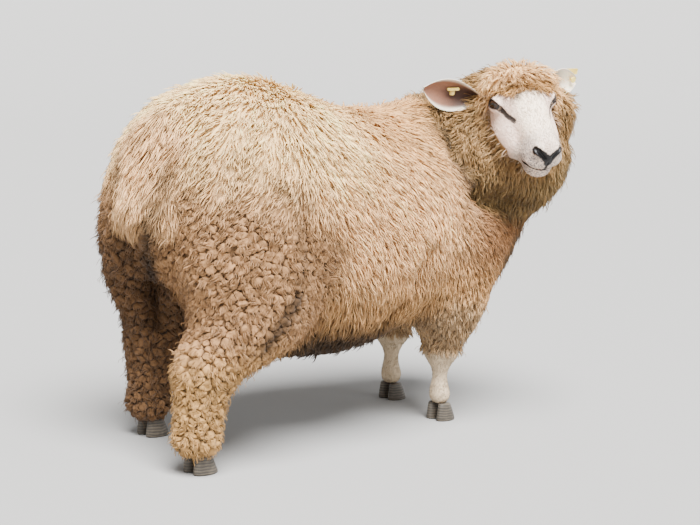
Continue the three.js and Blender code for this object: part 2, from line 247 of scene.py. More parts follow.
def skinMaterial():
    # Short hair, nose leather and the ground of the fleece, told apart by the skin's attributes
    made = newMaterial("skin", Specular_IOR_Level=0.3)
    tree = made[1]
    leather = attribute(tree, "leather")
    hair = objectNoise(tree, 420.0, 2.0)
    freckles = ramp(tree, objectNoise(tree, 330.0, 1.0), (0.50, 0.0), (0.60, 1.0))
    dots = product(tree, freckles, attribute(tree, "speckle"))
    color = shaded(tree, attribute(tree, "tint", "Color"), ramp(tree, hair, (0.3, 0.86), (0.7, 1.0)))
    color = mixColor(tree, "MIX", dots, color, (0.16, 0.15, 0.16, 1))
    rough = node(tree, "MapRange", To_Min=0.85, To_Max=0.42)
    tree.links.new(leather, rough.inputs["Value"])
    tree.links.new(rough.outputs["Result"], made[2].inputs["Roughness"])
    grain = product(tree, onObject(tree, "TexVoronoi", "Distance", Scale=420.0), leather)
    return dress(made, color, bump(tree, grain, 0.4, 0.001, bump(tree, hair, 0.35, 0.0012)))


def earMaterial():
    radius = (0.006, 0.002, 0.001)
    made = newMaterial("earSkin", Roughness=0.7, Subsurface_Weight=0.15, Subsurface_Radius=radius)
    tree = made[1]
    shade = ramp(tree, objectNoise(tree, 260.0, 3.0), (0.3, 0.84), (0.7, 1.0))
    color = shaded(tree, attribute(tree, "tint", "Color"), shade)
    return dress(made, color, bump(tree, objectNoise(tree, 380.0, 2.0), 0.3, 0.001))


def eyeMaterial():
    material, tree, shader = newMaterial(
        "eye", Roughness=0.12, Specular_IOR_Level=0.35, Coat_Weight=0.25, Coat_Roughness=0.04
    )
    fleck = ramp(tree, objectNoise(tree, 900.0, 3.0), (0.35, 0.7), (0.65, 1.0))
    color = shaded(tree, attribute(tree, "tint", "Color"), fleck)
    tree.links.new(color, shader.inputs["Base Color"])
    return material


def hornMaterial():
    made = newMaterial("hoofHorn", Roughness=0.55)
    tree = made[1]
    rings = node(tree, "TexWave", Scale=55.0, Distortion=2.5, Detail=3.0)
    rings.bands_direction = "Z"
    tree.links.new(node(tree, "TexCoord").outputs["Object"], rings.inputs["Vector"])
    growth = rings.outputs["Fac"]
    color = ramp(tree, growth, (0.1, (0.055, 0.045, 0.034, 1)), (0.9, (0.13, 0.105, 0.075, 1)))
    mud = ramp(tree, objectNoise(tree, 45.0), (0.45, 0.55), (0.7, 1.0))
    return dress(made, shaded(tree, color, mud), bump(tree, growth, 0.5, 0.0008))


def tagMaterial():
    made = newMaterial("tagPlastic", Roughness=0.38)
    tree = made[1]
    stops = ((0.3, (0.62, 0.43, 0.08, 1)), (0.6, (0.86, 0.66, 0.16, 1)), (0.8, (0.90, 0.78, 0.36, 1)))
    grime = ramp(tree, objectNoise(tree, 70.0), *stops)
    return dress(made, grime, bump(tree, objectNoise(tree, 300.0), 0.2, 0.0005))


addCamera()
addLights()
addFloor()
woolMat, skinMat, earMat = woolMaterial(), skinMaterial(), earMaterial()
eyeMat, hornMat, tagMat = eyeMaterial(), hornMaterial(), tagMaterial()
print("stage: camera, lights, floor and materials")

# Meshes and attributes


def readAll(items, key, width=1, kind=np.float32):
    values = np.empty(len(items) * width, dtype=kind)
    items.foreach_get(key, values)
    return values.reshape(-1, width) if width > 1 else values


def meshVectors(mesh, key="co"):
    return readAll(mesh.vertices, key, 3).astype(float)


def setPlaces(mesh, points):
    mesh.vertices.foreach_set("co", np.asarray(points, dtype=np.float32).ravel())


def meshObject(name, points, faces, material, smooth=True):
    mesh = bpy.data.meshes.new(name)
    faces = np.asarray(faces, dtype=np.int32)
    mesh.vertices.add(len(points))
    setPlaces(mesh, points)
    mesh.loops.add(faces.size)
    mesh.loops.foreach_set("vertex_index", faces.ravel())
    mesh.polygons.add(len(faces))
    starts = np.arange(0, faces.size, faces.shape[1], dtype=np.int32)
    mesh.polygons.foreach_set("loop_start", starts)
    mesh.update(calc_edges=True)
    mesh.validate()
    mesh.polygons.foreach_set("use_smooth", np.full(len(mesh.polygons), smooth))
    mesh.materials.append(material)
    return addObject(name, mesh)


def paintVertices(piece, name, values):
    values = np.asarray(values, dtype=np.float32)
    if values.ndim == 2:
        layer = piece.data.attributes.new(name, "FLOAT_COLOR", "POINT")
        opaque = np.c_[values, np.ones(len(values))].astype(np.float32)
        layer.data.foreach_set("color", opaque.ravel())
    else:
        layer = piece.data.attributes.new(name, "FLOAT", "POINT")
        layer.data.foreach_set("value", values)


def setUv(piece, name, uv):
    # One place on the map for each vertex
    corners = readAll(piece.data.loops, "vertex_index", kind=np.int32)
    layer = piece.data.uv_layers.new(name=name)
    layer.data.foreach_set("uv", uv[corners].astype(np.float32).ravel())


def ringFaces(rings, around, start=0, flipped=False):
    # Triangles over rings of points, closed by the two end points that follow them
    index = np.arange(rings * around).reshape(rings, around) + start
    after = np.roll(index, -1, 1)
    end = np.full(around, start + rings * around)
    strips = (
        (index[:-1], index[1:], after[1:]),
        (index[:-1], after[1:], after[:-1]),
        (end, index[0], after[0]),
        (end + 1, after[-1], index[-1]),
    )
    faces = np.concatenate([np.stack(strip, -1).reshape(-1, 3) for strip in strips])
    return faces[:, ::-1] if flipped else faces


def circle(count):
    return np.linspace(0, 2 * math.pi, count, endpoint=False)


def finish(piece, slot, *nodes):
    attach(piece, "root")
    if nodes:
        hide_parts(*nodes)


def treeOf(points, ids):
    tree = kdtree.KDTree(len(ids))
    for point, n in zip(points, ids):
        tree.insert(point, n)
    tree.balance()
    return tree


# Numbers


def unit(vectors):
    return vectors / np.maximum(np.linalg.norm(vectors, axis=-1, keepdims=True), 1e-9)


def step(low, high, value):
    share = np.clip((value - low) / (high - low), 0, 1)
    return share * share * (3 - 2 * share)


def sRgb(*levels):
    level = np.array(levels, dtype=float) / 255
    return np.where(level <= 0.04045, level / 12.92, ((level + 0.055) / 1.055) ** 2.4)


def blendColor(color, other, share):
    return color + (other - color) * share[:, None]


def blendPlaces(table, base, places):
    # Starts from one entry of the table and blends in others, each by its share at every point
    value = np.array(table[base], float)[None]
    for name, share in places:
        value = value + (np.array(table[name], float) - value) * share[:, None]
    return value


def waves(points, size, seed):
    # Smooth wandering value between about -1 and 1, of that size in metres
    random = np.random.default_rng(seed)
    total = np.zeros(len(points))
    for _ in range(6):
        direction = unit(random.normal(size=3)) * 2 * math.pi / size * random.uniform(0.6, 1.5)
        total += np.sin(points @ direction + random.uniform(0, 6.28))
    return total / 2.6


# Rounded forms, as distances in millimetres


def egg(p, center, radii):
    local = (p - np.array(center, float)) / np.array(radii, float)
    reach = np.linalg.norm(local, axis=-1)
    steepness = np.linalg.norm(local / np.array(radii, float), axis=-1)
    return reach * (reach - 1) / np.maximum(steepness, 1e-9)


def bone(p, start, end, startRadius=0, endRadius=0):
    start, end = np.array(start, float), np.array(end, float)
    along = end - start
    share = np.clip((p - start) @ along / (along @ along), 0, 1)
    reach = np.linalg.norm(p - start - share[:, None] * along, axis=-1)
    return reach - (startRadius + (endRadius - startRadius) * share)


def distanceToPath(p, path):
    return np.min([bone(p, a, b) for a, b in zip(path[:-1], path[1:])], axis=0)


def join(a, b, softness):
    nearness = np.maximum(softness - np.abs(a - b), 0) / softness
    return np.minimum(a, b) - nearness**2 * softness / 4


def cut(a, b, softness):
    return -join(-a, b, softness)


def netSurface(field, low, high, cell):
    # One vertex in each cell that the surface crosses, one quad for each crossed edge
    counts = np.ceil((np.array(high) - low) / cell).astype(int) + 1
    axes = [low[i] + cell * np.arange(counts[i]) for i in range(3)]
    grid = np.stack(np.meshgrid(*axes, indexing="ij"), -1).reshape(-1, 3)
    values = field(grid).reshape(counts)
    inside = values < 0
    last = counts - 1
    corners = [(i, j, k) for i in (0, 1) for j in (0, 1) for k in (0, 1)]
    stack = [inside[i : last[0] + i, j : last[1] + j, k : last[2] + k] for i, j, k in corners]
    mixed = np.any(stack, axis=0) & ~np.all(stack, axis=0)
    ids = np.full(last, -1)
    ids[mixed] = np.arange(mixed.sum())
    cells = np.argwhere(mixed)
    total, crossings = np.zeros((len(cells), 3)), np.zeros(len(cells))
    units = np.eye(3, dtype=int)
    quads = []
    for axis in range(3):
        u, v = units[(axis + 1) % 3], units[(axis + 2) % 3]
        for shift in (0 * u, u, v, u + v):
            a, b = cells + shift, cells + shift + units[axis]
            va, vb = values[tuple(a.T)], values[tuple(b.T)]
            crossed = (va < 0) != (vb < 0)
            share = np.where(crossed, va / np.where(crossed, va - vb, 1), 0)
            total += np.where(crossed[:, None], a + share[:, None] * units[axis], 0)
            crossings += crossed
        edges = np.argwhere(inside != np.roll(inside, -1, axis))
        edges = edges[(edges[:, axis] < last[axis]) & (edges @ u > 0) & (edges @ v > 0)]
        edges = edges[(edges @ u < last @ u) & (edges @ v < last @ v)]
        ring = np.stack([ids[tuple((edges - shift).T)] for shift in (0 * u, u, u + v, v)], -1)
        outward = inside[tuple(edges.T)]
        quads.append(np.where(outward[:, None], ring, ring[:, ::-1]))
    points = low + cell * total / crossings[:, None]
    nudges = 0.3 * np.eye(3)
    for _ in range(2):
        slope = np.stack([field(points + way) - field(points - way) for way in nudges], -1) / 0.6
        move = -field(points) / np.maximum((slope**2).sum(-1), 0.25)
        points = points + slope * np.clip(move, -cell / 2, cell / 2)[:, None]
    return points, np.concatenate(quads)


# The head's own frame: millimetres, nose towards -y, left ear towards +x

headSetup = {
    "place": (-156.8, -321.1, 701.6),
    "turn": 109,
    "dip": 41,
    "tilt": 12,
    "eyeCenter": (61, -2, 1),
    "eyeRadius": 15,
    "eyeAxis": (0.80, -0.34, 0.48),
    "eyeSlant": 20,
    "lidThickness": 2.2,
    "opening": (13.2, 7.2),
    "box": ((-98, -174, -144), (98, 118, 60)),
    "cell": 1.9,
    # two rounded forms each side: middle, radii, softness
    "cheekbone": ((45, 0, 0), (21, 24, 21), 12),
    "cheek": ((42, -44, -46), (25, 60, 33), 24),
    "upperLip": ((20, -137, -29), (19, 18, 13), 7),
    "noseWing": ((18, -141, 1), (13, 12, 13), 7),
    # hollows each side: from, to, radius at each, softness
    "nostril": ((8, -154, -9), (25, -147, 8), 2.4, 4.6, 4),
    "flare": ((25, -147, 8), (31, -136, 6), 4.4, 2.0, 4),
}
headTurn = np.array(
    Matrix.Rotation(math.radians(-headSetup["turn"]), 3, "Z")
    @ Matrix.Rotation(math.radians(headSetup["dip"]), 3, "X")
    @ Matrix.Rotation(math.radians(-headSetup["tilt"]), 3, "Y")
)
headPlace = np.array(headSetup["place"])


def toHead(points):
    return (np.asarray(points) / mm - headPlace) @ headTurn


def fromHead(points):
    return (np.asarray(points, float) @ headTurn.T + headPlace) * mm


def headReach(points):
    # Distance from the middle of the head and ruff
    return np.linalg.norm(toHead(points) - (0, 30, -90), axis=-1)


def mirrored(point, side):
    return np.array([point[0] * side, point[1], point[2]], float)


def eyeReach(p, side):
    return np.linalg.norm(p - mirrored(headSetup["eyeCenter"], side), axis=-1)


def eyeBasis(side):
    # The eye's axis, the way to its front corner, and upwards across the lids
    axis = unit(mirrored(headSetup["eyeAxis"], side))
    level = unit(np.cross((0, 0, 1), axis)) * -side
    above = np.cross(axis, level) * -side
    slant = math.radians(headSetup["eyeSlant"])
    corner = level * math.cos(slant) + above * math.sin(slant)
    return axis, corner, above * math.cos(slant) - level * math.sin(slant)


def almond(p, side):
    offset = p - mirrored(headSetup["eyeCenter"], side)
    along, front, up = (offset @ way for way in eyeBasis(side))
    wide, high = headSetup["opening"]
    rim = high * (1 - 0.25 * np.clip(front / wide, -1, 1))
    shape = np.hypot(front / wide, (up + 0.12 * front) / rim) - 1
    return np.where(along > 0, shape * high, 50)


def mouthHeight(x, y):
    return -46 + 11 * (x / 38) ** 2 - 8 * step(-143, -127, y) * step(26, 38, np.abs(x))


def headField(p):
    shape = egg(p, (0, 22, -22), (60, 78, 56))
    shape = join(shape, bone(p, (0, -20, -10), (0, -122, -11), 45, 33), 30)
    shape = join(shape, bone(p, (0, 40, -74), (0, -106, -54), 50, 29), 34)
    shape = join(shape, egg(p, (0, -125, -28), (40, 30, 33)), 18)
    shape = join(shape, egg(p, (0, -127, -62), (29, 26, 18)), 8)
    for side in (-1, 1):

        def tube(start, end, startRadius, endRadius):
            return bone(p, mirrored(start, side), mirrored(end, side), startRadius, endRadius)

        for name in ("cheekbone", "cheek", "upperLip", "noseWing"):
            center, radii, softness = headSetup[name]
            shape = join(shape, egg(p, mirrored(center, side), radii), softness)
        ball = eyeReach(p, side) - headSetup["eyeRadius"]
        shape = join(shape, ball - headSetup["lidThickness"], 7)
        shape = cut(shape, almond(p, side), 2.0)
        shape = cut(shape, ball - 0.3, 0.8)
        groove = tube((61, -17, 5), (53, -34, 1), 4.2, 3.8)
        shape = cut(shape, np.minimum(groove, tube((53, -34, 1), (43, -55, 4), 3.8, 2.2)), 5)
        for name in ("nostril", "flare"):
            *ends, softness = headSetup[name]
            shape = cut(shape, tube(*ends), softness)
    x, y, z = p.T
    mouth = np.maximum(np.abs(z - mouthHeight(x, y)) - 1.6, y + 121)
    shape = cut(shape, np.maximum(mouth, -4.5 - shape), 1.5)
    cleft = np.maximum(np.maximum(np.abs(x) - 1.0, y + 140), np.maximum(z + 18, -46 - z))
    return cut(shape, np.maximum(cleft, -2.5 - shape), 1.5)


low, high = (np.array(corner) for corner in headSetup["box"])
headPoints, headQuads = netSurface(headField, low, high, headSetup["cell"] * (1))
headPoints = fromHead(headPoints)
print("stage: head shell", len(headPoints))

# The body's skin: the flesh solids joined, smoothed and drawn in by the coat's depth

fleshNodes = ["trunk", "tail", "neck", "head", "muzzle"] + [
    f"{end}_{side}_{part}"
    for end in ("hind", "fore")
    for side in ("right", "left")
    for part in ("upper", "lower")
]
bodySetup = {
    "voxel": 0.0075,
    "smoothing": 14,
    "lowest": 0.030,
    # depth of the coat over each part
    "fleece": 0.015,
    "belly": 0.014,
    "thigh": 0.013,
    "foreArm": 0.013,
    "shank": 0.009,
    "foreShank": 0.0015,
    "pastern": 0.002,
    "crown": 0.013,
    "face": 0.012,
    "tail": 0.013,
    # middle and radii of the ball between shank and hoof
    "pasterns": [(-0.0839, 0.4641), (0.1721, 0.3641), (-0.0419, -0.2699), (0.1501, -0.3259)],
    "pasternHeight": 0.056,
    "pasternRadii": (0.027, 0.030, 0.026),
}


def nearFace(points):
    # 1 on the short-haired face, 0 in the wool of the crown, cheeks and ruff
    x, y, z = toHead(points).T
    wide = np.abs(x)
    top = -8 + 24 * step(32, 62, wide)
    low = -44 + 14 * step(-18, 14, y) - 55 * step(-88, -106, y)
    return step(top + 3, top - 3, y) * step(low - 3, low + 3, z) * step(-150, -120, z)


creases = {
    # picture places along each fold, half width and depth in metres, whether the far side has it too
    "ruff": (((441, 122), (455, 150), (469, 175), (491, 200), (518, 214)), 0.034, 0.044, False),
    "elbow": (((436, 244), (431, 264), (424, 288), (408, 308), (392, 324)), 0.021, 0.030, True),
    "flank": (((283, 176), (298, 207), (305, 242), (306, 272), (302, 296)), 0.014, 0.018, True),
    "groin": (((302, 296), (290, 318), (268, 349)), 0.020, 0.030, True),
    "thighFold": (((152, 292), (170, 295), (188, 285)), 0.009, 0.014, False),
    "cleft": (((149, 222), (145, 245), (148, 268), (152, 292), (157, 325)), 0.020, 0.052, False),
    "tailEdge": (((170, 164), (164, 186), (156, 202), (149, 222)), 0.018, 0.028, True),
}
creaseLines = []
fullCrease = 0.030
# Painted shade: how much darker the coat is painted deep in a fold
creaseShade = 0.84


def findCreases(body):
    # Each fold's places are found where sight lines through the picture meet the body
    width, height = viewSetup["picture"]
    reach = viewSetup["lens"] / viewSetup["sensor"] * width
    tree = bvhtree.BVHTree.FromObject(body, bpy.context.evaluated_depsgraph_get())
    for path, wide, deep, both in creases.values():
        sights = [viewTurn @ Vector((px - width / 2, height / 2 - py, -reach)) for px, py in path]
        hits = [tree.ray_cast(Vector(viewSetup["place"]), sight.normalized())[0] for sight in sights]
        line = [np.array(hit) for hit in hits if hit is not None]
        creaseLines.append((line, wide, deep))
        if both:
            far = [np.array((2 * middleX - x, y, z)) for x, y, z in line]
            creaseLines.append((far, wide, deep))


def creaseShare(points):
    # How deep in a fold each place is, in metres and as a share
    depth, share = np.zeros(len(points)), np.zeros(len(points))
    for line, wide, deep in creaseLines:
        near = np.exp(-((distanceToPath(points, line) / wide) ** 2))
        depth = np.maximum(depth, deep * near)
        share = np.maximum(share, near * min(1, deep / fullCrease))
    return depth, share


def coatDepth(points):
    x, y, z = points.T
    hx, hy, hz = toHead(points).T
    places = [
        ("belly", step(0.32, 0.24, z)),
        ("thigh", step(0.36, 0.28, z) * step(0.16, 0.26, y)),
        ("shank", step(0.21, 0.16, z) * step(0.1, 0.2, y)),
        ("foreArm", step(0.30, 0.22, z) * step(-0.12, -0.2, y)),
        ("foreShank", step(0.17, 0.145, z) * step(-0.1, -0.2, y)),
        ("pastern", step(0.085, 0.06, z)),
        ("tail", step(0.47, 0.50, y) * step(0.12, 0.09, np.abs(x - middleX))),
        ("crown", step(-40, -10, hz) * step(120, 90, hy) * step(130, 110, np.abs(hx))),
        ("face", nearFace(points)),
    ]
    return blendPlaces(bodySetup, "fleece", places)


def roundBall(rings, around):
    polar = np.linspace(0, math.pi, rings + 1)[1:-1]
    polar, turns = np.meshgrid(polar, circle(around), indexing="ij")
    flat = np.sin(polar)
    body = np.stack((flat * np.cos(turns), flat * np.sin(turns), np.cos(polar)), -1)
    points = np.concatenate((body.reshape(-1, 3), [(0, 0, 1), (0, 0, -1)]))
    return points, ringFaces(rings - 1, around)


def joinedFlesh():
    points, triangles, count = [], [], 0
    for key in fleshNodes:
        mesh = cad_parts[key].data
        mesh.calc_loop_triangles()
        points.append(meshVectors(mesh))
        triangles.append(readAll(mesh.loop_triangles, "vertices", 3, np.int32) + count)
        count += len(mesh.vertices)
    ball, ballFaces = roundBall(16, 20)
    for place in bodySetup["pasterns"]:
        points.append(ball * bodySetup["pasternRadii"] + (*place, bodySetup["pasternHeight"]))
        triangles.append(ballFaces + count)
        count += len(ball)
    return meshObject("skin", np.concatenate(points), np.concatenate(triangles), skinMat)


def applyModifier(piece, kind, **settings):
    modifier = piece.modifiers.new("work", kind)
    for key, value in settings.items():
        setattr(modifier, key, value)
    graph = bpy.context.evaluated_depsgraph_get()
    old, piece.data = piece.data, bpy.data.meshes.new_from_object(piece.evaluated_get(graph))
    piece.modifiers.clear()
    bpy.data.meshes.remove(old)


def buildSkin():
    voxel = bodySetup["voxel"]
    body = joinedFlesh()
    applyModifier(body, "WELD", merge_threshold=0.00002)
    applyModifier(body, "REMESH", mode="VOXEL", voxel_size=voxel)
    applyModifier(body, "SMOOTH", factor=0.5, iterations=bodySetup["smoothing"])
    findCreases(body)
    points, normals = meshVectors(body.data), meshVectors(body.data, "normal")
    folds = creaseShare(points)[0] * (1 - nearFace(points))
    points = points - normals * (coatDepth(points) + folds[:, None])
    points[:, 2] = np.maximum(points[:, 2], bodySetup["lowest"])
    setPlaces(body.data, points)
    applyModifier(body, "REMESH", mode="VOXEL", voxel_size=voxel * 0.9)
    applyModifier(body, "SMOOTH", factor=0.5, iterations=4)
    head = meshObject("headShell", headPoints, headQuads, skinMat)
    applyModifier(body, "BOOLEAN", operation="UNION", solver="MANIFOLD", object=head)
    bpy.data.objects.remove(head)
    body.data.polygons.foreach_set("use_smooth", np.full(len(body.data.polygons), True))
    return body


skin = buildSkin()
print("stage: skin", len(skin.data.vertices), "points")

# Colour of hair and wool, by place

woolColors = {
    "back": sRgb(218, 166, 108),
    # Painted light: the rump's top is painted paler, as where sunlight falls on it
    "rump": sRgb(255, 214, 150),
    "flank": sRgb(250, 198, 140),
    # Painted shade: the lower flank is painted darker
    "flankLow": sRgb(204, 156, 102),
    # Painted shadow: the belly's wool is painted dark, as in the body's shadow
    "belly": sRgb(70, 52, 34),
    "shoulder": sRgb(158, 112, 72),
    # Painted shade: the chest under the head is painted dark
    "chest": sRgb(104, 77, 47),
    # Haunch wool: dirtier curls, darkened further as painted shade under the rump's overhang
    "thigh": sRgb(158, 118, 79),
    "shank": sRgb(172, 132, 80),
    "foreLeg": sRgb(184, 150, 110),
    # Painted shade: the far hind leg's wool is painted dark
    "farLeg": sRgb(98, 70, 44),
    "tail": sRgb(232, 184, 130),
    "ruff": sRgb(148, 120, 78),
    "cheek": sRgb(162, 126, 80),
    "crown": sRgb(250, 198, 136),
    "forelock": sRgb(190, 142, 86),
}
hairColors = {
    "face": sRgb(255, 233, 208),
    # Pink tone with painted shade, for the lower face's side plane
    "blushAndShade": sRgb(242, 212, 194),
    "muzzle": sRgb(196, 178, 166),
    "leather": sRgb(15, 12, 13),
    "lid": sRgb(46, 34, 28),
    "groove": sRgb(26, 19, 17),
    "foreShank": sRgb(204, 182, 152),
}
facePaint = {
    # millimetres in the head's own frame
    "nose": [(27, -141, 5), (18, -150, 2), (8, -155, -5), (0, -157, -12), (0, -155, -38)],
    "noseReach": 9.2,
    "noseEdge": 1.5,
    "lip": (5.2, 3.0),
    "groove": [(61, -16, 5), (53, -34, 1), (43, -55, 4)],
    "grooveEdge": (7.5, 6.1),
    "lid": (3.6, 1.6),
}


def thighShare(points, above=0.03, below=0.05):
    # The curly haunch: below the rump's overhang, behind the flank's fold
    x, y, z = points.T
    low = 0.50 - 0.35 * np.clip(0.40 - y, 0, 0.3) + 0.022 * waves(points, 0.08, 4)
    return step(low + above, low - below, z) * step(0.17, 0.24, y)


def tailShare(points):
    x, y, z = points.T
    wide = step(0.098, 0.074, np.abs(x - middleX))
    return step(0.46, 0.485, y) * wide * step(0.42, 0.45, z) * step(0.68, 0.62, z)


def shankShare(points):
    return step(0.21, 0.15, points[:, 2]) * step(0.12, 0.2, points[:, 1])


def woolColor(points):
    x, y, z = points.T
    hx, hy, hz = toHead(points).T
    behind = step(middleX - 0.01, middleX + 0.03, x) * step(0.50, 0.38, z)
    ruff = step(220, 180, headReach(points))
    places = [
        ("back", step(0.50, 0.66, z + 0.02 * waves(points, 0.2, 3))),
        # Painted light: paler on the rump's top, where sunlight falls
        ("rump", step(0.46, 0.60, z) * step(-0.02, 0.18, y)),
        ("shoulder", step(-0.08, -0.28, y) * step(0.72, 0.56, z)),
        # Painted shade: darker towards the bottom of the flank
        ("flankLow", step(0.42, 0.28, z)),
        # Painted shadow under the belly
        ("belly", step(0.29, 0.22, z) * step(0.30, 0.24, np.abs(y - 0.02))),
        # Painted shade on the chest under the head
        ("chest", step(-0.36, -0.46, y) * step(0.60, 0.45, z)),
        # Darker haunch: dirtier curls with painted shade under the rump's overhang
        ("thigh", thighShare(points, 0.12, 0.06)),
        ("shank", step(0.27, 0.16, z) * step(0.14, 0.24, y)),
        ("foreLeg", step(0.32, 0.24, z) * step(-0.12, -0.2, y)),
        # Painted shade on the far hind leg
        ("farLeg", behind * step(0.12, 0.22, y)),
        ("tail", tailShare(points)),
        ("ruff", ruff),
        ("cheek", ruff * step(-150, -90, hz)),
        ("crown", ruff * step(-40, -8, hz)),
        ("forelock", ruff * step(48, 20, hy) * step(-10, 8, hz)),
    ]
    return blendPlaces(woolColors, "flank", places)


def faceColor(points):
    # Returns the hair's colour, how far it is bare leather and how speckled it is
    p = toHead(points)
    x, y, z = p.T
    wide = np.abs(x)
    color = np.tile(hairColors["face"], (len(p), 1))
    # Pinker and a little darker on the lower face's sides and below the nose: pink skin with painted
    # shade on the side plane
    blushAndShade = step(24, 46, wide) * step(-118, -90, y) + 0.5 * step(-118, -135, y) * step(26, 10, wide)
    color = blendColor(color, hairColors["blushAndShade"], np.clip(blushAndShade, 0, 0.9))
    # Greyer muzzle, more on its sides: grey hair, with painted shade on the side plane
    muzzle = step(-84, -118, y) * (0.35 + 0.5 * step(14, 34, wide))
    color = blendColor(color, hairColors["muzzle"], muzzle)
    speckle = step(-92, -122, y) * (0.35 + 0.65 * step(16, -10, z)) * step(-84, -66, z)
    nose = distanceToPath(np.stack((wide, y, z), -1), facePaint["nose"])
    nose += 0.8 * waves(points, 0.006, 5)
    reach = facePaint["noseReach"] + 2.5 * step(2, -10, z) * step(18, 4, wide)
    reach -= 7.5 * step(-18, -31, z)
    leather = step(reach + facePaint["noseEdge"], reach - facePaint["noseEdge"], nose)
    lips = np.abs(z - mouthHeight(x, y)) + step(34, 46, wide)
    leather = np.maximum(leather, step(*facePaint["lip"], lips) * step(-118, -124, y))
    for side in (-1, 1):
        groove = distanceToPath(p, [mirrored(place, side) for place in facePaint["groove"]])
        groove += 0.02 * np.clip(-16 - y, 0, 40)
        color = blendColor(color, hairColors["groove"], 0.96 * step(*facePaint["grooveEdge"], groove))
        rim = step(*facePaint["lid"], np.abs(almond(p, side))) * step(23, 20, eyeReach(p, side))
        color = blendColor(color, hairColors["lid"], rim)
    color = blendColor(color, hairColors["leather"], leather)
    return color, leather, speckle * (1 - leather)


def curlShare(points):
    # 1 where the coat is short felted curls: the haunches and hind shanks
    return np.maximum(thighShare(points), shankShare(points)) * (1 - tailShare(points))


def paintSkin():
    points = meshVectors(skin.data)
    bare = step(2.4, 1.2, np.abs(headField(toHead(points)))) * nearFace(points)
    leg = step(0.165, 0.15, points[:, 2]) * step(-0.1, -0.2, points[:, 1])
    # Painted shade: the skin under the coat is darker, most in the curls' cracks and in folds
    underShade = 0.80 - 0.28 * step(0.3, 0.7, curlShare(points)) - 0.40 * creaseShare(points)[1]
    face, leather, speckle = faceColor(points)
    color = blendColor(woolColor(points) * underShade[:, None], face, bare)
    paintVertices(skin, "tint", blendColor(color, hairColors["foreShank"], leg))
    paintVertices(skin, "leather", leather * bare)
    paintVertices(skin, "speckle", speckle * bare)
    paintVertices(skin, "bare", np.maximum(bare, leg))


def unwrapSkin():
    bpy.context.view_layer.objects.active = skin
    skin.select_set(True)
    skin.data.uv_layers.new(name="OFBake")
    bpy.ops.object.mode_set(mode="EDIT")
    bpy.ops.mesh.select_all(action="SELECT")
    bpy.ops.uv.smart_project(angle_limit=math.radians(66), island_margin=0.001)
    bpy.ops.object.mode_set(mode="OBJECT")
    skin.select_set(False)


paintSkin()
unwrapSkin()
finish(skin, "wool", *fleshNodes)
print("stage: skin painted and unwrapped")

# Eyes

eyeSetup = {
    "rings": 36,
    "around": 48,
    # colours and the distance from the axis at which each begins
    "iris": sRgb(48, 30, 17),
    "irisEdge": (sRgb(22, 14, 10), 8.5, 10.5),
    "white": (sRgb(150, 132, 118), 12.0, 13.6),
    "pupil": (sRgb(6, 5, 6), 6.2, 3.0),
}


def buildEye(side, name, cadNode):
    ball, triangles = roundBall(eyeSetup["rings"], eyeSetup["around"])
    local = ball[:, (2, 0, 1)]
    reach = headSetup["eyeRadius"] - 0.2 + 0.7 * step(0.82, 0.99, local[:, 0])
    sphere = local * reach[:, None]
    points = fromHead(sphere @ np.stack(eyeBasis(side)) + mirrored(headSetup["eyeCenter"], side))
    a, b, c = (points[triangles[:, n]] for n in range(3))
    outward = (np.cross(b - a, c - a) * (a - points.mean(0))).sum(-1).mean() > 0
    eye = meshObject(name, points, triangles if outward else triangles[:, ::-1], eyeMat)
    along, front, up = sphere.T
    span = np.hypot(front, up)
    color = np.tile(eyeSetup["iris"], (len(points), 1))
    edge, *reaches = eyeSetup["irisEdge"]
    color = blendColor(color, edge, step(*reaches, span))
    white, *reaches = eyeSetup["white"]
    color = blendColor(color, white, step(*reaches, span) + (along < 0))
    black, wide, high = eyeSetup["pupil"]
    pupil = step(1.15, 0.9, np.hypot(front / wide, up / high)) * (along > 0)
    paintVertices(eye, "tint", blendColor(color, black, pupil))
    finish(eye, "eye", cadNode)


buildEye(-1, "eyeRight", "eye_right")
buildEye(1, "eyeLeft", "eye_left")
print("stage: eyes")

# Ears and tags

earSetup = {
    "length": 136,
    "width": 70,
    "steps": 40,
    "strips": 28,
    "outside": sRgb(240, 226, 206),
    # Painted shade: the ear's hollow darkens towards its root, and the root end is dark
    "deep": sRgb(64, 41, 32),
    "ends": [sRgb(96, 66, 52), sRgb(226, 212, 196)],
    "right": {
        "side": -1,
        "root": (-68, 54, -38),
        "reach": (-97, 15, 25),
        "opening": (-0.31, -0.85, 0.54),
        # Painted shade: this ear's inside is painted darker than the other's
        "inside": sRgb(142, 98, 76),
    },
    "left": {
        "side": 1,
        "root": (66, 58, -22),
        "reach": (88, 38, -34),
        "opening": (0.31, -0.85, 0.54),
        # Painted light: this ear's inside is painted pale, as where light falls into it
        "inside": sRgb(255, 240, 212),
    },
}


def earBasis(ear):
    reach = unit(np.array(ear["reach"], float))
    across = unit(np.cross(ear["opening"], reach))
    return reach, across, np.cross(reach, across)


def earSurface(ear, u, v, lift):
    reach, across, out = earBasis(ear)
    half = earSetup["width"] / 2 * np.sin(math.pi * (0.1 + 0.88 * u) ** 1.29) ** 0.75
    bulge = np.where(v * ear["side"] < 0, 1.08, 0.92)
    height = 26 * (1 - 0.7 * u) * (v * v - 0.5) + 8 * u * u + lift
    along = earSetup["length"] * u
    sideways = half * v * bulge
    place = along[..., None] * reach + sideways[..., None] * across + height[..., None] * out
    return np.array(ear["root"], float) + place


